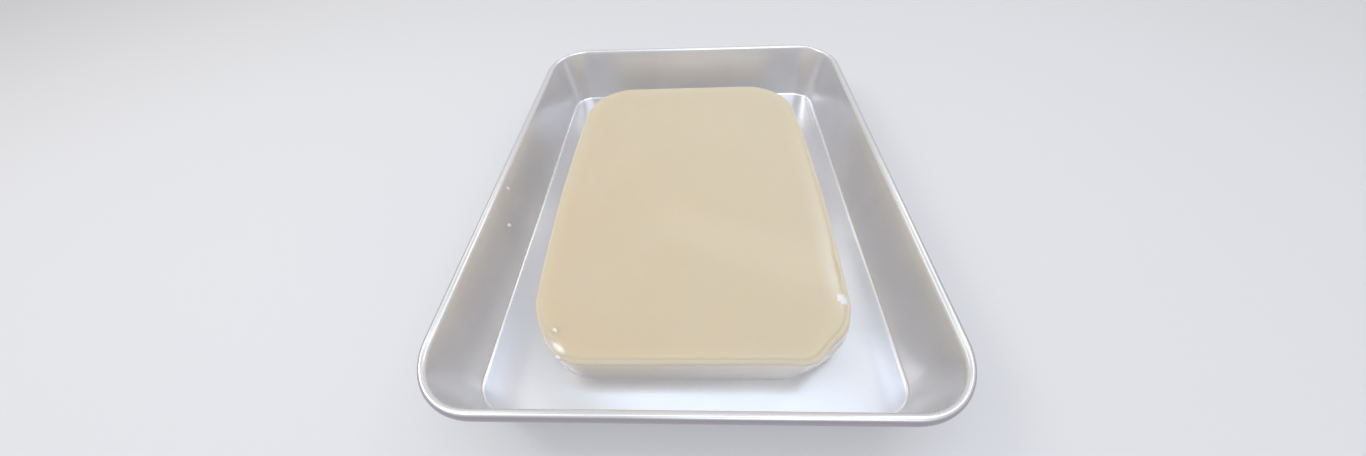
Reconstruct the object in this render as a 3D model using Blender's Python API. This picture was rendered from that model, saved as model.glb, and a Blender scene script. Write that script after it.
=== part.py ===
"""A slab of seaweed jelly lying in its pressed aluminium tray, in metres, +Z up.

The origin is under the middle of the tray, on the surface that it stands on.
X runs across the tray and Y along it, away from the cook.
"""

import math

import bmesh
import bpy
from mathutils import Vector

# Tray, measured over its rolled rim
TRAY_WIDTH = 0.2728
TRAY_LENGTH = 0.3384
TRAY_HEIGHT = 0.0480
SHEET = 0.0010
RIM_RADIUS = 0.00275
RIM_CURL = math.radians(288)
WALL_DRAFT = math.radians(9.4)
FLOOR_FILLET = 0.0020
FLOOR_CORNER = 0.0180
RIM_CORNER = 0.0380

# Jelly slab
JELLY_WIDTH = 0.1800
JELLY_LENGTH = 0.2650
JELLY_HEIGHT = 0.0270
JELLY_CORNER = 0.0375
JELLY_BULGE = 0.0062
JELLY_FOOT_ROUND = 0.0020
JELLY_EDGE_ROUND = 0.0012
LIP_RISE = 0.0011
LIP_WIDTH = 0.0075
JELLY_PLACE = (-0.0006, -0.0052)
JELLY_TURN = math.radians(0.4)

# Two solids that touch keep this gap
CLEARANCE = 0.0003

CORNER_STEPS = 10
SIDE_STEPS = 4
FILLET_STEPS = 5
CURL_STEPS = 4
ROUND_STEPS = 3
LIP_STEPS = 4


def outline(half_x, half_y, radius, bulge=0.0):
    """Points of a rectangle with round corners, whose long sides bow out by bulge."""
    corners = []
    for quarter, (side_x, side_y) in enumerate(((1, 1), (-1, 1), (-1, -1), (1, -1))):
        centre = Vector((side_x * (half_x - radius), side_y * (half_y - radius)))
        angles = [math.radians(90) * (quarter + step / CORNER_STEPS)
                  for step in range(CORNER_STEPS + 1)]
        corners.append([centre + radius * Vector((math.cos(angle), math.sin(angle)))
                        for angle in angles])
    points = []
    for corner, following in zip(corners, corners[1:] + corners[:1]):
        points += corner
        points += [corner[-1].lerp(following[0], step / SIDE_STEPS)
                   for step in range(1, SIDE_STEPS)]
    return [(x * (1 + bulge / half_x * (1 - (y / half_y) ** 2)), y) for x, y in points]


def add_ring(bm, points, z):
    """A closed loop of edges at height z."""
    verts = [bm.verts.new((x, y, z)) for x, y in points]
    return [bm.edges.new((verts[k - 1], verts[k])) for k in range(len(verts))]


def loft(rings, cap_last):
    """A skin through rings of (points, z), closed at the first one and, if asked, at the last."""
    bm = bmesh.new()
    loops = [add_ring(bm, points, z) for points, z in rings]
    for lower, upper in zip(loops, loops[1:]):
        bmesh.ops.bridge_loops(bm, edges=lower + upper)
    bmesh.ops.edgeloop_fill(bm, edges=loops[0])
    if cap_last:
        bmesh.ops.edgeloop_fill(bm, edges=loops[-1])
    bmesh.ops.recalc_face_normals(bm, faces=bm.faces)
    return bm


def make_object(name, bm, material):
    """A named object from a bmesh, smooth on its round stretches."""
    mesh = bpy.data.meshes.new(name)
    bm.to_mesh(mesh)
    bm.free()
    mesh.materials.append(material)
    mesh.shade_smooth()
    mesh.set_sharp_from_angle(angle=math.radians(35))
    obj = bpy.data.objects.new(name, mesh)
    bpy.context.scene.collection.objects.link(obj)
    return obj


def finish(name, colour, roughness, metallic):
    """A plain surface finish."""
    material = bpy.data.materials.new(name)
    material.use_nodes = True
    shader = material.node_tree.nodes["Principled BSDF"]
    shader.inputs["Base Color"].default_value = (*colour, 1.0)
    shader.inputs["Roughness"].default_value = roughness
    shader.inputs["Metallic"].default_value = metallic
    return material


def tray_profile():
    """Stations of the tray's inner face, from its floor to the end of the rolled rim.

    Each is (out, z): the distance outward from the line where floor and wall would meet.
    """
    floor_z = SHEET
    turn = math.radians(90) - WALL_DRAFT
    tangent = FLOOR_FILLET * math.tan(turn / 2)
    stations = []
    for step in range(FILLET_STEPS + 1):
        angle = turn * step / FILLET_STEPS
        out = FLOOR_FILLET * math.sin(angle) - tangent
        stations.append((out, floor_z + FLOOR_FILLET * (1 - math.cos(angle))))

    centre_z = TRAY_HEIGHT - RIM_RADIUS
    wall_top_z = centre_z + RIM_RADIUS * math.sin(WALL_DRAFT)
    wall_top_out = (wall_top_z - floor_z) * math.tan(WALL_DRAFT)
    centre_out = wall_top_out + RIM_RADIUS * math.cos(WALL_DRAFT)
    angles = [WALL_DRAFT]
    for end in (math.radians(90), math.radians(180), RIM_CURL):
        start = angles[-1]
        angles += [start + (end - start) * step / CURL_STEPS for step in range(1, CURL_STEPS + 1)]
    stations += [(centre_out - RIM_RADIUS * math.cos(angle),
                  centre_z + RIM_RADIUS * math.sin(angle)) for angle in angles]
    return stations, centre_out + RIM_RADIUS


def make_tray():
    """The pressed tray: one sheet from the floor up the walls and round into the rolled rim."""
    stations, flare = tray_profile()
    corner_growth = (RIM_CORNER - FLOOR_CORNER) / flare
    rings = []
    for out, z in stations:
        points = outline(TRAY_WIDTH / 2 - flare + out, TRAY_LENGTH / 2 - flare + out,
                         FLOOR_CORNER + corner_growth * out)
        rings.append((points, z))
    bm = loft(rings, cap_last=False)
    floor_face = max(bm.faces, key=lambda face: face.calc_area())
    if floor_face.normal.z < 0:
        bmesh.ops.reverse_faces(bm, faces=bm.faces)
    tray = make_object("tray", bm, finish("satin_aluminium", (0.62, 0.62, 0.65), 0.38, 1.0))
    sheet = tray.modifiers.new("sheet", "SOLIDIFY")
    sheet.thickness = SHEET
    sheet.offset = -1.0
    sheet.use_even_offset = True
    return tray


def jelly_profile():
    """Rings of the slab from its foot to the flat of its top, as (inset, z).

    The set surface climbs to a low lip along the edge, where it clung to the mould.
    """
    foot_z = SHEET + CLEARANCE
    crest_z = foot_z + JELLY_HEIGHT
    stations = []
    for step in range(ROUND_STEPS + 1):
        angle = math.radians(90) * step / ROUND_STEPS
        stations.append((JELLY_FOOT_ROUND * (1 - math.sin(angle)),
                         foot_z + JELLY_FOOT_ROUND * (1 - math.cos(angle))))
    for step in range(ROUND_STEPS + 1):
        angle = math.radians(90) * step / ROUND_STEPS
        stations.append((JELLY_EDGE_ROUND * (1 - math.cos(angle)),
                         crest_z - JELLY_EDGE_ROUND * (1 - math.sin(angle))))
    for step in range(1, LIP_STEPS + 1):
        share = step / LIP_STEPS
        fall = 1 - (1 - share) ** 2
        stations.append((JELLY_EDGE_ROUND + LIP_WIDTH * share, crest_z - LIP_RISE * fall))
    return stations


def make_jelly():
    """The slab of jelly, lying a little nearer the front wall than the back one."""
    rings = [(outline(JELLY_WIDTH / 2 - inset, JELLY_LENGTH / 2 - inset,
                      JELLY_CORNER - inset, JELLY_BULGE), z)
             for inset, z in jelly_profile()]
    bm = loft(rings, cap_last=True)
    jelly = make_object("jelly", bm, finish("agar_jelly", (0.66, 0.58, 0.44), 0.15, 0.0))
    jelly.location = (*JELLY_PLACE, 0.0)
    jelly.rotation_euler.z = JELLY_TURN
    return jelly


def main():
    """Clears the scene and makes both pieces."""
    for obj in list(bpy.data.objects):
        bpy.data.objects.remove(obj, do_unlink=True)
    make_tray()
    make_jelly()


main()
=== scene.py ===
"""Dresses a slab of agar jelly lying in its pressed aluminium tray, and lights it.

All sizes are in metres. X runs across the tray, Y along it and Z up, with the origin
under the middle of the tray.
"""

import logging
import math
from dataclasses import dataclass
from enum import Enum

import bmesh
import bpy
from mathutils import Matrix, Vector


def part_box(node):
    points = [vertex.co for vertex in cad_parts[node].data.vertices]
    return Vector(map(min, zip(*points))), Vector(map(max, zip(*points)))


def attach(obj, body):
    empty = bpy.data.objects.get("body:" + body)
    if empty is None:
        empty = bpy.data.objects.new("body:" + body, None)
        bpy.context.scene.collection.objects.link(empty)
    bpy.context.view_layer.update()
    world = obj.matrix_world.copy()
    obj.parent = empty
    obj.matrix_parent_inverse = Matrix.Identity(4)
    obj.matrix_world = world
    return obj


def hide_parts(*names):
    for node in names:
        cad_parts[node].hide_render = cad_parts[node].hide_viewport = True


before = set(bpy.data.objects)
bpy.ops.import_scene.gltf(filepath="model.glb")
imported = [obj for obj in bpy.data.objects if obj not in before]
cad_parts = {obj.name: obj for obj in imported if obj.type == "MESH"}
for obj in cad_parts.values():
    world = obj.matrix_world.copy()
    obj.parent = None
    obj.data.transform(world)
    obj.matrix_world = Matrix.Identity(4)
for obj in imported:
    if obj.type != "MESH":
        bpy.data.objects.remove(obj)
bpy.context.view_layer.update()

log = logging.getLogger("jelly_tray")

Colour = tuple[float, float, float]
Point = tuple[float, float, float]
Station = tuple[float, float]
Range = tuple[float, float]

BODY = "root"
ORIGIN: Point = (0.0, 0.0, 0.0)
UNIT: Range = (0.0, 1.0)
RIGHT_ANGLE = math.radians(90)
SHARP_ANGLE = math.radians(50)
NEARLY_STRAIGHT = 0.01


class Slot(Enum):
    """Material slots of the record."""

    ALUMINIUM = "aluminium"
    JELLY = "jelly"


class Tint(Enum):
    """Colours of the lamps."""

    WHITE = (1.0, 1.0, 1.0)
    COOL = (0.68, 0.82, 1.0)
    MILD = (0.80, 0.87, 1.0)
    WARM = (1.0, 0.90, 0.75)


def ramp(value: float, span: Range) -> float:
    """How far a value has come along a range, kept from 0 to 1."""
    return min(1.0, max(0.0, (value - span[0]) / (span[1] - span[0])))


def between(low: float, high: float, share: float) -> float:
    """The value at a share of the way from one value to another."""
    return low + (high - low) * share


def ease(share: float) -> float:
    """A share from 0 to 1, made to start and end gently."""
    return (3 - 2 * share) * share ** 2


def shares(steps: int) -> list[float]:
    """Equal steps from just above 0 up to 1."""
    return [k / steps for k in range(1, steps + 1)]


def arc(centre: Station, radius: float, start: float, end: float, steps: int) -> list[Station]:
    """Points on an arc of a section, turning clockwise from a wall that runs up.

    Args:
        centre: The arc's centre, as distance out and height.
        radius: Its radius.
        start: Heading at its start, from straight up, in radians.
        end: Heading at its end.
        steps: How many pieces it has.

    Returns:
        The points, both ends included.
    """
    angles = [start + (end - start) * k / steps for k in range(steps + 1)]
    return [(centre[0] - radius * math.cos(a), centre[1] + radius * math.sin(a)) for a in angles]


@dataclass(frozen=True)
class Pattern:
    """A noise pattern in the piece's own space.

    Attributes:
        scale: Pattern cells to the metre.
        detail: Octaves of finer noise.
        stretch: How much denser the pattern is along each axis.
        warp: Distortion of the pattern.
        band: The noise values between which it fades in.
        strength: Its share where it is fullest.
    """

    scale: float
    detail: float = 3.0
    stretch: Point = (1.0, 1.0, 1.0)
    warp: float = 0.0
    band: Range = UNIT
    strength: float = 1.0


class Board:
    """The node tree of one new material, with its shader and texture coordinates."""

    def __init__(self, name: str) -> None:
        """Starts a material.

        Args:
            name: The material's name.
        """
        self.material = bpy.data.materials.new(name)
        self.material.use_nodes = True
        self.nodes = self.material.node_tree.nodes
        self.shader = self.nodes["Principled BSDF"]
        self.place = self.nodes.new("ShaderNodeTexCoord").outputs["Object"]

    def link(self, source: bpy.types.NodeSocket, target: bpy.types.NodeSocket) -> None:
        """Joins two sockets."""
        self.material.node_tree.links.new(source, target)

    def set(self, **values: float | tuple[float, ...]) -> None:
        """Sets plain values on the shader.

        Args:
            values: Values by socket name, with _ for a space.
        """
        for name, value in values.items():
            socket = self.shader.inputs[name.replace("_", " ")]
            wide = isinstance(value, tuple) and len(socket.default_value) == 4
            socket.default_value = (*value, 1.0) if wide else value

    def cloud(self, pattern: Pattern) -> bpy.types.NodeSocket:
        """Makes a noise pattern.

        Args:
            pattern: Its scale, detail, stretch and warp.

        Returns:
            The noise value, from 0 to 1.
        """
        mapping = self.nodes.new("ShaderNodeMapping")
        mapping.inputs["Scale"].default_value = pattern.stretch
        self.link(self.place, mapping.inputs["Vector"])
        texture = self.nodes.new("ShaderNodeTexNoise")
        texture.inputs["Scale"].default_value = pattern.scale
        texture.inputs["Detail"].default_value = pattern.detail
        texture.inputs["Distortion"].default_value = pattern.warp
        self.link(mapping.outputs["Vector"], texture.inputs["Vector"])
        return texture.outputs["Fac"]

    def patches(self, pattern: Pattern) -> bpy.types.NodeSocket:
        """A noise pattern that fades in over its band, up to its strength."""
        return self.span(self.cloud(pattern), pattern.band, (0.0, pattern.strength))

    def span(self, value: bpy.types.NodeSocket, source: Range,
             target: Range) -> bpy.types.NodeSocket:
        """Maps a value smoothly from one range to another.

        Args:
            value: The value to map.
            source: Its range.
            target: The range wanted.

        Returns:
            The mapped value.
        """
        node = self.nodes.new("ShaderNodeMapRange")
        node.interpolation_type = "SMOOTHSTEP"
        numbers = (*source, *target)
        for name, number in zip(("From Min", "From Max", "To Min", "To Max"), numbers):
            node.inputs[name].default_value = number
        self.link(value, node.inputs["Value"])
        return node.outputs["Result"]

    def painted(self, name: str, target: Range = UNIT) -> bpy.types.NodeSocket:
        """A value from 0 to 1 that is stored on the mesh's points, mapped to a range.

        Args:
            name: The layer's name.
            target: The range wanted.

        Returns:
            The mapped value.
        """
        node = self.nodes.new("ShaderNodeAttribute")
        node.attribute_name = name
        return self.span(node.outputs["Fac"], UNIT, target)

    def blend(self, share: bpy.types.NodeSocket, low: Colour | bpy.types.NodeSocket,
              high: Colour) -> bpy.types.NodeSocket:
        """Mixes two colours.

        Args:
            share: How much of the second colour.
            low: The first colour, or a socket that gives it.
            high: The second colour.

        Returns:
            The mixed colour.
        """
        node = self.nodes.new("ShaderNodeMix")
        node.data_type = "RGBA"
        self.link(share, node.inputs["Factor"])
        if isinstance(low, bpy.types.NodeSocket):
            self.link(low, node.inputs["A"])
        else:
            node.inputs["A"].default_value = (*low, 1.0)
        node.inputs["B"].default_value = (*high, 1.0)
        return node.outputs["Result"]

    def relief(self, layers: list[tuple[bpy.types.NodeSocket, float]]) -> None:
        """Gives the shader a bumped normal.

        Args:
            layers: Height patterns, each with its depth in metres.
        """
        normal = None
        for height, depth in layers:
            bump = self.nodes.new("ShaderNodeBump")
            bump.inputs["Distance"].default_value = depth
            self.link(height, bump.inputs["Height"])
            if normal is not None:
                self.link(normal, bump.inputs["Normal"])
            normal = bump.outputs["Normal"]
        self.link(normal, self.shader.inputs["Normal"])


@dataclass(frozen=True)
class SatinAluminium:
    """Pressed sheet with a satin anodised skin: soft blotches and faint draw lines, and a
    painted highlight in its smoother fillet and rim top.
    """

    light: Colour = (0.825, 0.825, 0.85)
    dull: Colour = (0.775, 0.775, 0.80)
    burnish_highlight_tone: Colour = (0.985, 0.985, 1.0)
    shaded: Colour = (0.40, 0.37, 0.41)
    shading: float = 0.9
    metallic: float = 0.72
    roughness: float = 0.28
    burnished_roughness: float = 0.17
    blotches: Pattern = Pattern(16.0, detail=4.0, warp=0.4, band=(0.38, 0.66))
    waves: Pattern = Pattern(9.0, detail=1.0)
    wave_depth: float = 0.00015
    draw_lines: Pattern = Pattern(60.0, stretch=(9.0, 0.35, 1.0))
    line_depth: float = 0.0000012

    def make(self) -> bpy.types.Material:
        """Builds the metal.

        Returns:
            The material, which reads the painted layers "burnish" and "shade".
        """
        board = Board("satin_aluminium")
        colour = board.blend(board.patches(self.blotches), self.light, self.dull)
        # Painted highlight: the fillet and the rim's inner top get a near-white colour as well
        # as a smoother finish.
        pressed = board.blend(board.painted("burnish_and_highlight"), colour, self.burnish_highlight_tone)
        shaded = board.blend(board.painted("shade", (0.0, self.shading)), pressed, self.shaded)
        board.link(shaded, board.shader.inputs["Base Color"])
        gloss = board.painted("burnish_and_highlight", (self.roughness, self.burnished_roughness))
        board.link(gloss, board.shader.inputs["Roughness"])
        board.set(Metallic=self.metallic)
        board.relief([(board.cloud(self.waves), self.wave_depth),
                      (board.cloud(self.draw_lines), self.line_depth)])
        return board.material


@dataclass(frozen=True)
class CloudyJelly:
    """Set agar: cloudy and beige through its depth, wet and glossy on top."""

    warm: Colour = (0.725, 0.622, 0.458)
    pale: Colour = (0.735, 0.648, 0.497)
    # Pale tone: paler sides and crest, and a painted sheen just inside the bead.
    pale_and_sheen: Colour = (0.92, 0.91, 0.90)
    # Bead tone: the bead's own greyer colour, also used as painted shade in the crease.
    bead: Colour = (0.675, 0.590, 0.465)
    # Near-white tone for painted highlights on the corner flats and under the near right crest.
    shine: Colour = (0.99, 0.99, 1.0)
    cooling: Range = (-0.09, 0.12)
    pale_and_sheen_share: float = 0.95
    bead_and_crease_shade_share: float = 0.8
    drift: Pattern = Pattern(14.0, detail=2.0, warp=0.6, band=(0.35, 0.68), strength=0.5)
    mottle: Pattern = Pattern(95.0, detail=4.0, band=(0.45, 0.8), strength=0.35)
    swell: Pattern = Pattern(30.0, detail=1.0)
    swell_depth: float = 0.00008
    radius: Colour = (1.0, 0.85, 0.6)
    depth: float = 0.018
    roughness: float = 0.09
    ior: float = 1.34

    def make(self) -> bpy.types.Material:
        """Builds the jelly, which scatters light everywhere but at its spread foot, and carries
        painted sheen, a painted highlight and painted crease shade in its colour.

        Returns:
            The material, which reads the painted layers "thin", "bead", "shine" and "foot".
        """
        board = Board("agar_jelly")
        axes = board.nodes.new("ShaderNodeSeparateXYZ")
        board.link(board.place, axes.inputs["Vector"])
        across = board.span(axes.outputs["X"], self.cooling, UNIT)
        cooler = board.blend(across, self.warm, self.pale)
        base = board.blend(board.patches(self.drift), cooler, self.pale)
        spotted = board.blend(board.patches(self.mottle), base, self.pale)
        # Paler tone on the sides and crest, and a painted sheen just inside the bead.
        paled_and_sheened = board.blend(board.painted("pale_and_sheen", (0.0, self.pale_and_sheen_share)), spotted, self.pale_and_sheen)
        # The bead's own greyer tone, with more of it as painted shade where the crease is
        # marked.
        crease_shaded = board.blend(board.painted("bead", (0.0, self.bead_and_crease_shade_share)), paled_and_sheened, self.bead)
        # Painted highlight: near white on the corner flats and under the near right crest.
        lit = board.blend(board.painted("shine"), crease_shaded, self.shine)
        board.link(lit, board.shader.inputs["Base Color"])
        board.link(board.painted("foot", (1.0, 0.0)), board.shader.inputs["Subsurface Weight"])
        board.set(Roughness=self.roughness, IOR=self.ior, Subsurface_Radius=self.radius,
                  Subsurface_Scale=self.depth)
        board.relief([(board.cloud(self.swell), self.swell_depth)])
        return board.material


@dataclass(frozen=True)
class WhiteGlintDrop:
    """Small drops of water, painted white to stand for their glints."""

    # White colour: a painted glint in place of the clear look of water.
    tone: Colour = (0.98, 0.985, 1.0)
    clear: float = 0.15
    roughness: float = 0.04
    ior: float = 1.45

    def make(self) -> bpy.types.Material:
        """Builds the water.

        Returns:
            The material.
        """
        board = Board("water_drop")
        board.set(Base_Color=self.tone, Roughness=self.roughness, IOR=self.ior,
                  Transmission_Weight=self.clear, Coat_Weight=1.0)
        return board.material


@dataclass(frozen=True)
class WhiteTable:
    """A plain pale table top."""

    tone: Colour = (0.80, 0.80, 0.82)
    roughness: float = 0.6

    def make(self) -> bpy.types.Material:
        """Builds the table's finish.

        Returns:
            The material.
        """
        board = Board("white_table")
        board.set(Base_Color=self.tone, Roughness=self.roughness)
        return board.material


@dataclass(frozen=True)
class Plan:
    """A rectangle with round corners, seen from above, that can grow outward ring by ring.

    Attributes:
        half_x: Half its width.
        half_y: Half its length.
        corner: Radius of its corners.
        growth: How much faster the corners' radius grows than the rings move out.
        bulge: How far its long sides bow out.
        corner_steps: Pieces of each corner.
        side_cuts: Cuts of the sides along X and along Y.
    """

    half_x: float
    half_y: float
    corner: float
    growth: float = 0.0
    bulge: float = 0.0
    corner_steps: int = 20
    side_cuts: tuple[int, int] = (7, 9)

    def start(self, bm: bmesh.types.BMesh) -> list[bmesh.types.BMEdge]:
        """Makes the plan as one flat face at height 0.

        Args:
            bm: The mesh to make it in.

        Returns:
            The edges of its border.
        """
        made = bmesh.ops.create_grid(bm, x_segments=1, y_segments=1, size=1.0)
        bmesh.ops.scale(bm, verts=made["verts"], vec=(self.half_x, self.half_y, 1.0))
        bmesh.ops.bevel(bm, geom=made["verts"], offset=self.corner, offset_type="OFFSET",
                        segments=self.corner_steps, profile=0.5, affect="VERTICES", material=-1)
        for axis, cuts in enumerate(self.side_cuts):
            sides = [e for e in bm.edges if self._runs_along(e, axis)]
            bmesh.ops.subdivide_edges(bm, edges=sides, cuts=cuts, use_only_quads=True)
        base = bm.verts.layers.float_vector.new("base")
        for vert in bm.verts:
            vert[base] = vert.co
        return list(bm.edges)

    def _runs_along(self, edge: bmesh.types.BMEdge, axis: int) -> bool:
        """Whether a border edge is a straight side along that axis."""
        span = edge.verts[1].co - edge.verts[0].co
        return (abs(span[axis]) > self.corner
                and abs(span[1 - axis]) < self.corner * NEARLY_STRAIGHT)

    def settle(self, bm: bmesh.types.BMesh, verts: list[bmesh.types.BMVert], out: float,
               z: float) -> None:
        """Moves a ring of points to its distance outside the plan and its height.

        Args:
            bm: The mesh that holds them.
            verts: The ring's points.
            out: How far outside the plan the ring lies.
            z: Its height.
        """
        base = bm.verts.layers.float_vector["base"]
        flat = Vector((self.half_x - self.corner, self.half_y - self.corner))
        for vert in verts:
            spot = vert[base].xy
            share = Vector(max(-1.0, min(1.0, spot[k] / flat[k])) for k in (0, 1))
            away = (spot - Vector((share.x * flat.x, share.y * flat.y))).normalized()
            spot = spot + away * out + (away - share) * self.growth * out
            spot.x *= 1 + self.bulge / self.half_x * (1 - (spot.y / (self.half_y + out)) ** 2)
            vert.co = (spot.x, spot.y, z)

    def pull(self, bm: bmesh.types.BMesh, border: list[bmesh.types.BMEdge], out: float,
             z: float) -> list[bmesh.types.BMEdge]:
        """Pulls the border out to one more ring.

        Args:
            bm: The mesh.
            border: The edges to start from.
            out: How far outside the plan the new ring lies.
            z: Its height.

        Returns:
            The edges of the new ring.
        """
        made = bmesh.ops.extrude_edge_only(bm, edges=border)["geom"]
        verts = {v for v in made if isinstance(v, bmesh.types.BMVert)}
        self.settle(bm, list(verts), out, z)
        return [e for e in made
                if isinstance(e, bmesh.types.BMEdge) and verts.issuperset(e.verts)]


def ring_points(border: list[bmesh.types.BMEdge]) -> set[bmesh.types.BMVert]:
    """The points of a ring of edges."""
    return {vert for edge in border for vert in edge.verts}


def add_piece(name: str, bm: bmesh.types.BMesh, material: bpy.types.Material,
              nodes: tuple[str, ...] = ()) -> bpy.types.Object:
    """Turns a bmesh into a finished piece that rides on the body.

    Args:
        name: The piece's name.
        bm: Its mesh, which is used up.
        material: Its material.
        nodes: CAD nodes that it stands for.

    Returns:
        The object.
    """
    mesh = bpy.data.meshes.new(name)
    bm.to_mesh(mesh)
    bm.free()
    mesh.materials.append(material)
    mesh.shade_smooth()
    mesh.set_sharp_from_angle(angle=SHARP_ANGLE)
    piece = bpy.data.objects.new(name, mesh)
    bpy.context.scene.collection.objects.link(piece)
    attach(piece, BODY)
    if nodes:
        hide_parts(*nodes)
    log.info("%s: %d faces", name, len(mesh.polygons))
    return piece


@dataclass
class PressedTray:
    """The aluminium tray: flat floor, sloped walls and a rim rolled outward and under.

    Attributes:
        burnish_and_highlight_climb: Height up the fillet that is smoother and carries a painted
            highlight, in fillet radii.
        rim_burnish_and_highlight: How smooth the inner top of the rim is, and how much painted
            highlight it carries.
        rim_inner: Where that strip ends outward, in rim radii in from the outermost edge.
        rim_top: Where it begins, in rim radii down from the top.
        shade_span: Where the rim's outer side darkens, in rim radii out from its middle.
    """

    sheet: float = 0.0010
    rim_radius: float = 0.00275
    rim_curl: float = math.radians(288)
    wall_draft: float = math.radians(9.4)
    floor_fillet: float = 0.0020
    floor_corner: float = 0.0180
    rim_corner: float = 0.0380
    fillet_steps: int = 10
    wall_steps: int = 6
    roll_steps: int = 8
    curl_steps: int = 18
    burnish_and_highlight_climb: float = 0.6
    rim_burnish_and_highlight: float = 0.5
    rim_inner: float = 0.9
    rim_top: float = 0.5
    shade_span: Range = (0.15, 0.60)

    def __post_init__(self) -> None:
        """Takes the outer size from the frame and works out the section."""
        low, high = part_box("tray")
        self.height = high[2] - low[2]
        self.section, self.flare = self._section()
        self.plan = Plan(half_x=(high[0] - low[0]) / 2 - self.flare,
                         half_y=(high[1] - low[1]) / 2 - self.flare,
                         corner=self.floor_corner,
                         growth=(self.rim_corner - self.floor_corner) / self.flare - 1)

    def _section(self) -> tuple[list[Station], float]:
        """Works out the sheet's section.

        Returns:
            The inner face from floor to rim end, and how far the rim stands out.
        """
        turn = RIGHT_ANGLE - self.wall_draft
        tangent = self.floor_fillet * math.tan(turn / 2)
        angles = [turn * k / self.fillet_steps for k in range(self.fillet_steps + 1)]
        fillet = [(self.floor_fillet * math.sin(a) - tangent,
                   self.sheet + self.floor_fillet * (1 - math.cos(a))) for a in angles]
        rim_z = self.height - self.rim_radius
        wall_z = rim_z + self.rim_radius * math.sin(self.wall_draft)
        wall_out = (wall_z - self.sheet) * math.tan(self.wall_draft)
        rim_out = wall_out + self.rim_radius * math.cos(self.wall_draft)
        foot_out, foot_z = fillet[-1]
        wall = [(between(foot_out, wall_out, share), between(foot_z, wall_z, share))
                for share in shares(self.wall_steps)[:-1]]
        centre = (rim_out, rim_z)
        roll = arc(centre, self.rim_radius, self.wall_draft, RIGHT_ANGLE, self.roll_steps)
        curl = arc(centre, self.rim_radius, RIGHT_ANGLE, self.rim_curl, self.curl_steps)
        return fillet + wall + roll + curl[1:], rim_out + self.rim_radius

    def build(self) -> bmesh.types.BMesh:
        """Presses the sheet: floor, fillet, wall and curl in one surface.

        Returns:
            The mesh, with the layers "burnish" and "shade" painted.
        """
        bm = bmesh.new()
        border = self.plan.start(bm)
        burnish_and_highlight = bm.verts.layers.float.new("burnish_and_highlight")
        shade = bm.verts.layers.float.new("shade")
        self.plan.settle(bm, list(bm.verts), *self.section[0])
        for out, z in self.section[1:]:
            border = self.plan.pull(bm, border, out, z)
            for vert in ring_points(border):
                # Paints the highlight and the smoothness into the fillet and the rim's inner
                # top.
                vert[burnish_and_highlight] = self.burnish_and_highlight(out, z)
                vert[shade] = self.shade(out)
        return bm

    def burnish_and_highlight(self, out: float, z: float) -> float:
        """How smooth the sheet is and how much painted highlight it carries: in the fillet, and
        less so along the rim.

        Args:
            out: Distance outside the floor's plan.
            z: Height.

        Returns:
            The share, from 0 to 1.
        """
        climb = (z - self.sheet) / self.floor_fillet
        if climb < self.burnish_and_highlight_climb:
            return 1.0
        inner = out < self.flare - self.rim_inner * self.rim_radius
        top = z > self.height - self.rim_top * self.rim_radius
        return self.rim_burnish_and_highlight if inner and top else 0.0

    def shade(self, out: float) -> float:
        """How dark the rim is at a distance out, on its outer side."""
        return ramp((out - self.flare + self.rim_radius) / self.rim_radius, self.shade_span)

    def dress(self) -> bpy.types.Object:
        """Makes the piece and gives the sheet its thickness.

        Returns:
            The object.
        """
        piece = add_piece("tray_pressing", self.build(), SatinAluminium().make(),
                          ("tray",))
        wall = piece.modifiers.new("sheet", "SOLIDIFY")
        wall.thickness = self.sheet
        wall.offset = -1.0
        wall.use_even_offset = True
        return piece


@dataclass(frozen=True)
class Facet:
    """A flat place that the skin of the jelly fell into when it was turned out.

    Attributes:
        centre: A point on the flat.
        lean: Rise of the flat along x and along y.
        drop: Depth of the flat's centre under the crest.
        reach: Half length and half width of the place.
        heading: Direction of its length.
        keep: Width of the bead outside it that stays as it is.
        rim: How sharply it ends.
        pale: How much painted highlight it carries.
        core: Share of its reach where it is quite flat.
    """

    centre: tuple[float, float]
    lean: tuple[float, float]
    drop: float
    reach: tuple[float, float]
    heading: float
    keep: float = 0.0
    rim: float = 0.02
    pale: float = 0.1
    core: float = 0.8

    def level(self, spot: Vector, crest_z: float) -> float:
        """Works out the flat's height.

        Args:
            spot: A place on the top.
            crest_z: Height of the slab's crest.

        Returns:
            The height, raised where the spot lies outside the flat's reach.
        """
        away = spot - Vector(self.centre)
        along = away.x * math.cos(self.heading) + away.y * math.sin(self.heading)
        across = away.y * math.cos(self.heading) - away.x * math.sin(self.heading)
        far = math.hypot(along / self.reach[0], across / self.reach[1])
        lift = max(0.0, far - self.core) ** 2 * self.rim
        return crest_z - self.drop + away.x * self.lean[0] + away.y * self.lean[1] + lift


@dataclass(frozen=True)
class Push:
    """A stretch of a near corner that stands out of its round plan, or in from it.

    Attributes:
        side: 1 for the right corner, -1 for the left one.
        angle: Its place, from the long side round to the near end.
        spread: How far it reaches to either side of that.
        foot: Distance out at the foot.
        belly: Further distance out at half height.
        crest: Distance out at the crest.
        gleam: How much its upper side shines.
    """

    side: int
    angle: float
    spread: float
    foot: float = 0.0
    belly: float = 0.0
    crest: float = 0.0
    gleam: float = 0.0

    def reach(self, angle: float) -> float:
        """How much of it is felt at an angle round the corner."""
        return math.exp(-((angle - self.angle) / self.spread) ** 2)

    def amount(self, angle: float, rise: float) -> float:
        """Distance out at an angle round the corner and a share of the height."""
        level = self.foot * (1 - rise) + self.crest * rise + self.belly * 4 * rise * (1 - rise)
        return self.reach(angle) * level


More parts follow.
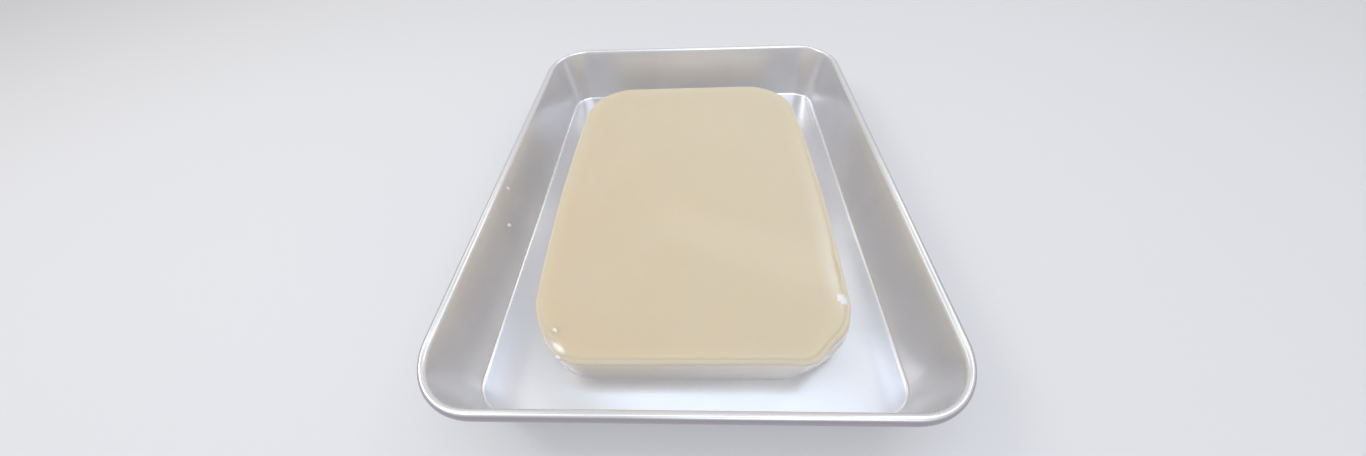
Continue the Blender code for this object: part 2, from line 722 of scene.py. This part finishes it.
@dataclass(frozen=True)
class Fold:
    """A shallow groove in the skin along a line of points."""

    points: tuple[tuple[float, float], ...]
    depth: float
    width: float

    def sink(self, spot: Vector) -> float:
        """Works out the groove's depth, which fades towards its last point.

        Args:
            spot: A place on the top.

        Returns:
            The depth there.
        """
        deepest = 0.0
        for number, (start, end) in enumerate(zip(self.points, self.points[1:])):
            first, along = Vector(start), Vector(end) - Vector(start)
            share = min(1.0, max(0.0, (spot - first).dot(along) / along.length_squared))
            away = (spot - first - along * share).length / self.width
            fade = 1 - (number + share) / (len(self.points) - 1)
            deepest = max(deepest, self.depth * fade * math.exp(-away ** 2))
        return deepest


@dataclass(frozen=True)
class SkinTones:
    """Where the slab's crease is marked, with painted shade, and where its skin carries painted
    sheen.

    Places along the slab are shares of its length from its middle, and places across it
    are shares of its width.

    Attributes:
        crease_end: Where the crease sets in towards the near end.
        crease_right: Where it sets in towards the right side.
        crease_along: Where it sets in along the right side.
        crease_end_most: How marked it is at the near end.
        sheen_right: Where the painted sheen sets in towards the right side.
        sheen_behind: Where it sets in behind the near end.
        sheen_far: Where it sets in towards the far end.
        sheen_least: Painted sheen wherever the crease is.
        sheen_gain: Further painted sheen on the right side.
        sheen_far_most: Painted sheen at the far end.
        side_pale: Paleness of the sides.
        crest_pale: Paleness of the crest.
        top_sheen: Strength of the painted sheen inside the bead.
        sheen_onset: How fast that sets in.
        sheen_power: How it fades towards the middle.
        bead_least: The bead's own tone where there is no crease.
        bead_fade: How far in that tone and the painted crease shade fade.
    """

    crease_end: Range = (0.37, 0.47)
    crease_right: Range = (0.0, 0.35)
    crease_along: Range = (-0.45, 0.30)
    crease_end_most: float = 0.85
    sheen_right: Range = (0.0, 0.45)
    sheen_behind: Range = (-0.42, -0.32)
    sheen_far: Range = (0.36, 0.48)
    sheen_least: float = 0.15
    sheen_gain: float = 0.75
    sheen_far_most: float = 0.3
    side_pale: float = 0.5
    crest_pale: float = 0.35
    top_sheen: float = 0.52
    sheen_onset: float = 6.0
    sheen_power: float = 0.7
    bead_least: float = 0.35
    bead_fade: float = 0.0008

    def crease(self, across: float, along: float) -> float:
        """How marked the crease is: along the near end and the near half of the right side.

        Args:
            across: Place across the slab.
            along: Place along it.

        Returns:
            The share, from 0 to 1.
        """
        end = ramp(-along, self.crease_end)
        right = ramp(across, self.crease_right) * ramp(-along, self.crease_along)
        return max(self.crease_end_most * end, right)

    def painted_sheen(self, across: float, along: float) -> float:
        """How much painted sheen shows inside the bead: on the right side, and a little at both
        ends.

        Args:
            across: Place across the slab.
            along: Place along it.

        Returns:
            The share, from 0 to about 1.
        """
        right = ramp(across, self.sheen_right) * ramp(along, self.sheen_behind)
        near = self.crease(across, along) * (self.sheen_least + self.sheen_gain * right)
        return near + self.sheen_far_most * ramp(along, self.sheen_far)


@dataclass
class JellySlab:
    """The set slab: bowed sides, a raised bead with a crease inside it, and a wet top.

    Attributes:
        foot_gap: How far its foot lies under the solid's, down to the tray's floor.
        foot_rise: Height over which the foot spreads.
        bead_power: How the bead falls from the crest into the crease.
        shoulder: Inset of the shoulder inside the crease, and its depth under the crest.
        flat: Inset at which the flat begins, and its depth under the crest.
        middle: Inset up to which the flat has rings.
        shine_fade: Depth of a flat at which its shine is full.
        bead_slope: How steeply a flat ends against the bead.
        gleam_rise: Share of the height at which a push gleams.
        gleam_half: Half the width of that line.
        gleam_reach: How near the outside it stays, in corner radii.
    """

    width: float = 0.1800
    length: float = 0.2650
    height: float = 0.0270
    corner: float = 0.0375
    bulge: float = 0.0062
    foot_gap: float = 0.00028
    foot_rise: float = 0.0024
    foot_spread: float = 0.0005
    bead_round: float = 0.0012
    bead_width: float = 0.0029
    bead_power: float = 2.2
    crease_drop: float = 0.00065
    shoulder: Station = (0.0052, 0.00035)
    flat: Station = (0.0150, 0.00065)
    middle: float = 0.0320
    corner_steps: int = 28
    side_cuts: tuple[int, int] = (59, 99)
    foot_steps: int = 6
    side_steps: int = 8
    round_steps: int = 7
    bead_steps: int = 6
    crease_steps: int = 5
    shoulder_steps: int = 12
    middle_steps: int = 10
    shine_fade: float = 0.0003
    bead_slope: float = 1.2
    gleam_rise: float = 0.90
    gleam_half: float = 0.045
    gleam_reach: float = 0.9
    place: tuple[float, float] = (-0.0006, -0.0052)
    turn: float = math.radians(0.4)
    tones: SkinTones = SkinTones()
    facets: tuple[Facet, ...] = (
        Facet(centre=(-0.0745, -0.1280), lean=(0.187, 0.123), drop=0.0012,
              reach=(0.0095, 0.0026), heading=math.radians(-34), keep=0.0022, rim=0.05,
              pale=0.35),
        Facet(centre=(0.0880, -0.0800), lean=(-0.14, 0.0), drop=0.0008,
              reach=(0.0160, 0.0042), heading=math.radians(87), keep=0.0020),
        Facet(centre=(0.0887, -0.0993), lean=(-0.132, 0.097), drop=0.0011,
              reach=(0.0036, 0.0026), heading=math.radians(-60), keep=0.0018, rim=0.05,
              pale=1.0),
    )
    pushes: tuple[Push, ...] = (
        Push(1, math.radians(27), math.radians(22), belly=0.0027),
        Push(1, math.radians(45), math.radians(14), foot=-0.0006, belly=0.0008, crest=-0.0015,
             gleam=0.8),
        Push(1, math.radians(71), math.radians(12), foot=-0.0010, crest=0.0022),
        Push(-1, math.radians(22), math.radians(14), crest=-0.0015),
        Push(-1, math.radians(62), math.radians(14), foot=0.0004, crest=0.0018),
    )
    folds: tuple[Fold, ...] = (
        Fold(((0.0906, -0.0790), (0.0890, -0.0745), (0.0857, -0.0719), (0.0740, -0.0723)),
             depth=0.00040, width=0.0014),
    )

    def __post_init__(self) -> None:
        """Takes the slab's foot and crest from the frame."""
        low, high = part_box("jelly")
        self.foot_z = low[2] - self.foot_gap
        self.crest_z = high[2]
        self.plan = Plan(half_x=self.width / 2, half_y=self.length / 2, corner=self.corner,
                         bulge=self.bulge, corner_steps=self.corner_steps,
                         side_cuts=self.side_cuts)

    def side(self) -> list[Station]:
        """Lists the rings of the side.

        Returns:
            Inset and height, from the foot, which spreads a little, up to the crest.
        """
        rings = [(-self.foot_spread * (1 - k / self.foot_steps) ** 2,
                  self.foot_z + self.foot_rise * k / self.foot_steps)
                 for k in range(self.foot_steps + 1)]
        rings += [(0.0, self.foot_z + self.height * k / self.side_steps)
                  for k in range(1, self.side_steps)]
        angles = [RIGHT_ANGLE * k / self.round_steps for k in range(self.round_steps + 1)]
        rings += [(self.bead_round * (1 - math.cos(a)),
                   self.crest_z - self.bead_round * (1 - math.sin(a))) for a in angles]
        return rings

    def top(self) -> list[Station]:
        """Lists the rings of the top.

        Returns:
            Inset and height, from the crest over the bead, crease and shoulder to the flat.
        """
        shoulder, shoulder_drop = self.shoulder
        flat, flat_drop = self.flat
        rings = [(between(self.bead_round, self.bead_width, share),
                  self.crest_z - self.crease_drop * share ** self.bead_power)
                 for share in shares(self.bead_steps)]
        climb = self.crease_drop - shoulder_drop
        rings += [(between(self.bead_width, shoulder, share),
                   self.crest_z - self.crease_drop + climb * (1 - (1 - share) ** 2))
                  for share in shares(self.crease_steps)]
        rings += [(between(shoulder, flat, share),
                   self.crest_z - between(shoulder_drop, flat_drop, ease(share)))
                  for share in shares(self.shoulder_steps)]
        rings += [(between(flat, self.middle, share), self.crest_z - flat_drop)
                  for share in shares(self.middle_steps)]
        return rings

    def plain_top(self, inset: float) -> float:
        """Height of the top where there is no crease, falling gently to the flat."""
        return self.crest_z - self.flat[1] * ease(ramp(inset, (self.bead_round, self.flat[0])))

    def build(self) -> bmesh.types.BMesh:
        """Grows the slab from its foot to the flat of its top.

        Returns:
            The mesh, with the layers "thin", "bead", "shine" and "foot" painted.
        """
        bm = bmesh.new()
        border = self.plan.start(bm)
        side = self.side()
        rings = [(-inset, z) for inset, z in side + self.top()]
        pale_and_sheen = bm.verts.layers.float.new("pale_and_sheen")
        bead = bm.verts.layers.float.new("bead")
        bm.verts.layers.float.new("shine")
        foot = bm.verts.layers.float.new("foot")
        inset = bm.verts.layers.float.new("inset")
        self.plan.settle(bm, list(bm.verts), *rings[0])
        for vert in bm.verts:
            vert[pale_and_sheen] = vert[foot] = 1.0
        for number, (out, z) in enumerate(rings[1:], start=1):
            border = self.plan.pull(bm, border, out, z)
            for vert in ring_points(border):
                across, along = vert.co.x / self.width, vert.co.y / self.length
                crease = self.tones.crease(across, along)
                if number >= len(side):
                    vert[inset] = -out
                    vert.co.z = between(self.plain_top(-out), z, crease)
                # Paints a paler tone on the sides and crest and a painted sheen just inside the
                # bead.
                vert[pale_and_sheen] = self.paleness_and_sheen(-out, z, self.tones.painted_sheen(across, along))
                # Paints the bead's own greyer tone, with painted shade where the crease is
                # marked.
                vert[bead] = self.bead_tone_and_crease_shade(-out, z, crease)
                vert[foot] = 1 - ramp(z, (self.foot_z, self.foot_z + 2 * self.foot_rise))
        self.push_corners(bm)
        bmesh.ops.edgeloop_fill(bm, edges=border)
        bmesh.ops.recalc_face_normals(bm, faces=bm.faces)
        turn = Matrix.Rotation(self.turn, 4, "Z")
        bmesh.ops.transform(bm, matrix=Matrix.Translation((*self.place, 0.0)) @ turn,
                            verts=bm.verts)
        self.press_facets(bm, inset)
        return bm

    def paleness_and_sheen(self, inset: float, z: float, painted_sheen: float) -> float:
        """How much of the pale tone shows: paler on the sides and crest, and as painted sheen
        just inside the bead.

        Args:
            inset: Distance in from the edge.
            z: Height.
            painted_sheen: How much painted sheen shows there.

        Returns:
            The tone's share, from 0 to 1.
        """
        if z < self.crest_z - self.bead_round:
            return self.tones.side_pale
        if inset < self.bead_width:
            return self.tones.crest_pale * max(0.0, 1 - inset / self.bead_round)
        span = (inset - self.bead_width) / (self.flat[0] - self.bead_width)
        onset = min(1.0, span * self.tones.sheen_onset)
        return self.tones.top_sheen * painted_sheen * onset * max(0.0, 1 - span) ** self.tones.sheen_power

    def bead_tone_and_crease_shade(self, inset: float, z: float, crease: float) -> float:
        """How much of the bead's greyer tone shows: its own tone, with more as painted shade
        where the crease is marked.

        Args:
            inset: Distance in from the edge.
            z: Height.
            crease: How marked the crease is there.

        Returns:
            The tone's share, from 0 to 1.
        """
        if z < self.crest_z - self.bead_round:
            return 0.0
        beyond = max(0.0, inset - self.bead_width) / self.tones.bead_fade
        return between(self.tones.bead_least, 1.0, crease) * math.exp(-beyond ** 2)

    def push_corners(self, bm: bmesh.types.BMesh) -> None:
        """Moves the near corners out of their round plan, less and less towards the middle, and
        paints a highlight line just under the crest where a push gleams.

        Args:
            bm: The slab's mesh.
        """
        shine = bm.verts.layers.float["shine"]
        for vert in bm.verts:
            side = 1 if vert.co.x > 0 else -1
            away = Vector((side * vert.co.x - (self.width / 2 - self.corner),
                           -vert.co.y - (self.length / 2 - self.corner)))
            if away.x <= 0 or away.y <= 0:
                continue
            angle, reach = math.atan2(away.y, away.x), away.length / self.corner
            rise = (vert.co.z - self.foot_z) / (self.crest_z - self.foot_z)
            here = [push for push in self.pushes if push.side == side]
            # Paints a highlight line just under the crest.
            if abs(rise - self.gleam_rise) < self.gleam_half and reach > self.gleam_reach:
                vert[shine] = max(push.gleam * push.reach(angle) for push in here)
            amount = sum(push.amount(angle, rise) for push in here)
            shift = away.normalized() * amount * min(1.0, reach) ** 3
            vert.co.x += side * shift.x
            vert.co.y -= shift.y

    def press_facets(self, bm: bmesh.types.BMesh, inset: bmesh.types.BMLayerItem) -> None:
        """Lets the skin down on to its flats and into its folds, leaving the outer bead, and
        paints a highlight on the flats.

        Args:
            bm: The slab's mesh.
            inset: The layer that holds how far in from the edge a point of the top is.
        """
        shine = bm.verts.layers.float["shine"]
        for vert in [v for v in bm.verts if v[inset] > 0]:
            for facet in self.facets:
                level = facet.level(vert.co.xy, self.crest_z)
                level += max(0.0, facet.keep - vert[inset]) * self.bead_slope
                if level < vert.co.z:
                    sunk = min(1.0, (vert.co.z - level) / self.shine_fade)
                    vert.co.z = level
                    # Paints a highlight on the flat, fuller where it sinks deeper.
                    vert[shine] = max(vert[shine], facet.pale * sunk)
            vert.co.z -= sum(fold.sink(vert.co.xy) for fold in self.folds)

    def dress(self) -> bpy.types.Object:
        """Makes the piece."""
        return add_piece("jelly_slab", self.build(), CloudyJelly().make(), ("jelly",))


@dataclass(frozen=True)
class Drop:
    """One drop of water.

    Attributes:
        spot: Where it sits.
        size: Half its length, width and height.
        heading: Direction of its length.
        slope: How steep the wall is that it sits on.
    """

    spot: Point
    size: Point
    heading: float = 0.0
    slope: float = 0.0


@dataclass
class WaterDrops:
    """Drops left on the slab and on the tray's left wall.

    Attributes:
        taper: How much narrower a drop is at its tail.
        foot: Height of its underside, as a share of its upper side.
        rings: Pieces of a drop round and up.
    """

    drops: tuple[Drop, ...] = (
        Drop((-0.0767, -0.1189, 0.0278), (0.0020, 0.0011, 0.0009), math.radians(-40)),
        Drop((-0.0713, -0.1344, 0.0281), (0.0019, 0.0010, 0.0009), math.radians(-28)),
        Drop((-0.0035, -0.0476, 0.0277), (0.0007, 0.0005, 0.0005), 0.3),
        Drop((-0.1301, -0.0188, 0.0405), (0.0017, 0.0013, 0.0009), 0.2, math.radians(80)),
        Drop((-0.1278, -0.0414, 0.0268), (0.0020, 0.0014, 0.0009), 0.5, math.radians(80)),
    )
    taper: float = 0.20
    foot: float = 0.35
    rings: tuple[int, int] = (20, 12)

    def build(self) -> bmesh.types.BMesh:
        """Shapes each drop as a low dome with a narrower tail, flat where it sits.

        Returns:
            The mesh of all drops.
        """
        bm = bmesh.new()
        round_steps, up_steps = self.rings
        for drop in self.drops:
            made = bmesh.ops.create_uvsphere(bm, u_segments=round_steps, v_segments=up_steps,
                                             radius=1.0)
            for vert in made["verts"]:
                vert.co.y *= 1 - self.taper * vert.co.x
                vert.co.z *= self.foot if vert.co.z < 0 else 1.0
            pose = (Matrix.Translation(drop.spot)
                    @ Matrix.Rotation(drop.slope, 4, "Y")
                    @ Matrix.Rotation(drop.heading, 4, "Z")
                    @ Matrix.Diagonal((*drop.size, 1.0)))
            bmesh.ops.transform(bm, matrix=pose, verts=made["verts"])
        return bm

    def dress(self) -> bpy.types.Object:
        """Makes the piece."""
        return add_piece("water_drops", self.build(), WhiteGlintDrop().make())


@dataclass(frozen=True)
class Panel:
    """One soft light.

    Attributes:
        name: Its name.
        spot: Where it hangs.
        size: Its width and height.
        watts: Its power.
        tint: Its colour.
        target: The point that it faces.
    """

    name: str
    spot: Point
    size: tuple[float, float]
    watts: float
    tint: Tint = Tint.WHITE
    target: Point = ORIGIN

    def hang(self) -> None:
        """Puts the light in the scene."""
        lamp = bpy.data.lights.new(self.name, "AREA")
        lamp.shape = "RECTANGLE"
        lamp.size, lamp.size_y = self.size
        lamp.energy = self.watts
        lamp.color = self.tint.value
        holder = bpy.data.objects.new(self.name, lamp)
        holder.location = self.spot
        back = Vector(self.spot) - Vector(self.target)
        holder.rotation_euler = back.to_track_quat("Z", "Y").to_euler()
        bpy.context.scene.collection.objects.link(holder)


@dataclass
class Studio:
    """The pale table, the soft lights and the camera.

    Attributes:
        photo_width: Width of the photograph, in its pixels.
        photo_focal: Focal length of its camera, in the same pixels.
        zoom: Size of the picture in the render, against the photograph.
    """

    table_size: float = 8.0
    horizon: Colour = (0.665, 0.65, 0.64)
    zenith: Colour = (0.585, 0.585, 0.585)
    panels: tuple[Panel, ...] = (
        Panel("top_panel", (0.15, 0.10, 1.2), (0.9, 0.3), 1.5, Tint.COOL, (0.15, 0.10, 0.0)),
        Panel("front_panel", (0.30, -0.55, 1.2), (0.8, 0.5), 2.6, Tint.MILD),
        Panel("back_strip", (0.27, 0.63, 1.04), (0.9, 0.15), 0.4),
        Panel("left_panel", (-0.78, -0.10, 1.2), (0.4, 0.8), 1.25),
        Panel("back_panel", (-1.0, 0.75, 1.1), (0.6, 0.6), 0.9, Tint.WARM),
        Panel("spark_lamp", (0.75, 0.22, 0.95), (0.28, 0.28), 0.4),
        Panel("edge_strip", (0.80, 0.68, 0.95), (0.35, 0.35), 0.5),
        Panel("left_strip", (-0.75, 0.0, 0.80), (0.16, 0.22), 1.2),
    )
    eye: Point = (0.0044, -0.2015, 0.2260)
    pitch: float = math.radians(51.79)
    yaw: float = math.radians(-3.52)
    roll: float = math.radians(3.22)
    photo_width: float = 1366.0
    photo_focal: float = 450.0
    zoom: float = 0.82
    sensor_width: float = 36.0
    nearest: float = 0.01

    def lay_table(self) -> None:
        """Lays the pale floor that the tray stands on."""
        bm = bmesh.new()
        bmesh.ops.create_grid(bm, x_segments=1, y_segments=1, size=self.table_size / 2)
        mesh = bpy.data.meshes.new("table_top")
        bm.to_mesh(mesh)
        bm.free()
        mesh.materials.append(WhiteTable().make())
        table = bpy.data.objects.new("table_top", mesh)
        bpy.context.scene.collection.objects.link(table)

    def surround(self) -> None:
        """Sets the pale surroundings, which change tone from the horizon up."""
        world = bpy.data.worlds.new("pale_room")
        world.use_nodes = True
        nodes, links = world.node_tree.nodes, world.node_tree.links
        axes = nodes.new("ShaderNodeSeparateXYZ")
        links.new(nodes.new("ShaderNodeTexCoord").outputs["Generated"], axes.inputs["Vector"])
        height = nodes.new("ShaderNodeMapRange")
        height.interpolation_type = "SMOOTHSTEP"
        links.new(axes.outputs["Z"], height.inputs["Value"])
        tone = nodes.new("ShaderNodeMix")
        tone.data_type = "RGBA"
        tone.inputs["A"].default_value = (*self.horizon, 1.0)
        tone.inputs["B"].default_value = (*self.zenith, 1.0)
        links.new(height.outputs["Result"], tone.inputs["Factor"])
        links.new(tone.outputs["Result"], nodes["Background"].inputs["Color"])
        bpy.context.scene.world = world

    def light_room(self) -> None:
        """Sets the surroundings, the panels and the colour transform."""
        self.surround()
        for panel in self.panels:
            panel.hang()
        bpy.context.scene.view_settings.view_transform = "Standard"

    def place_camera(self) -> None:
        """Puts the camera where the photograph was taken from."""
        data = bpy.data.cameras.new("camera")
        data.sensor_width = self.sensor_width
        data.lens = data.sensor_width * self.photo_focal * self.zoom / self.photo_width
        data.clip_start = self.nearest
        camera = bpy.data.objects.new("camera", data)
        ahead = Vector((0.0, math.cos(self.pitch), -math.sin(self.pitch)))
        right = Vector((1.0, 0.0, 0.0))
        up = right.cross(ahead)
        tilt = Matrix.Rotation(self.roll, 3, ahead)
        axes = Matrix((tilt @ right, tilt @ up, -ahead)).transposed()
        turn = Matrix.Rotation(-self.yaw, 3, "Z")
        camera.matrix_world = Matrix.Translation(self.eye) @ (turn @ axes).to_4x4()
        bpy.context.scene.collection.objects.link(camera)
        bpy.context.scene.camera = camera


def main() -> None:
    """Builds the stage and the pieces in order."""
    logging.basicConfig(level=logging.INFO, format="%(message)s")
    studio = Studio()
    studio.place_camera()
    studio.lay_table()
    studio.light_room()
    PressedTray().dress()
    JellySlab().dress()
    WaterDrops().dress()


if __name__ == "__main__":
    main()
